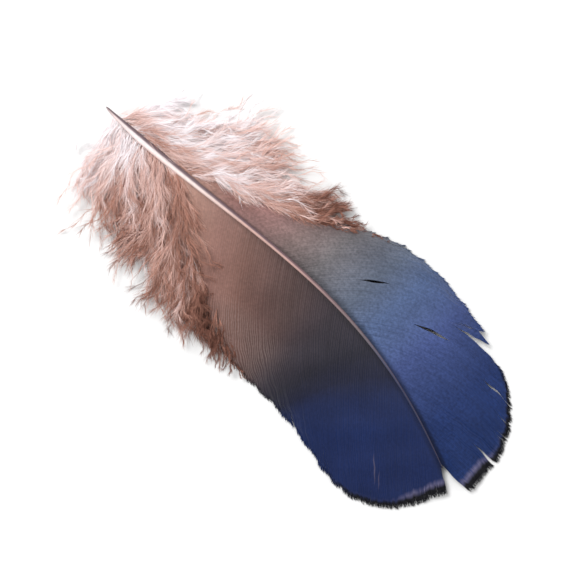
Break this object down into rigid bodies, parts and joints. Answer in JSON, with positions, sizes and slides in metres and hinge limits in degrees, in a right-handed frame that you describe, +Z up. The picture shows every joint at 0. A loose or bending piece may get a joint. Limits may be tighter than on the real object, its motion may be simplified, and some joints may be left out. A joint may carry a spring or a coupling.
{
  "type": "feather",
  "caption": "Body feather of a fowl, lying glossy side up: curved shaft, two cambered vanes with small splits and a notched tip, and loose down over the lower third.",
  "frame": {"origin": "middle of the feather's footprint, on the surface that it lies on", "axes": "+X from the quill's end towards the tip, +Y towards the brighter vane, +Z up, out of the glossy side"},
  "size_m": [0.0654, 0.0324, 0.0073],
  "materials": {
    "feather": "satin, iridescent blue vanes with pinkish brown down"
  },
  "bodies": {
    "root": {"feather": "feather"}
  },
  "joints": []
}
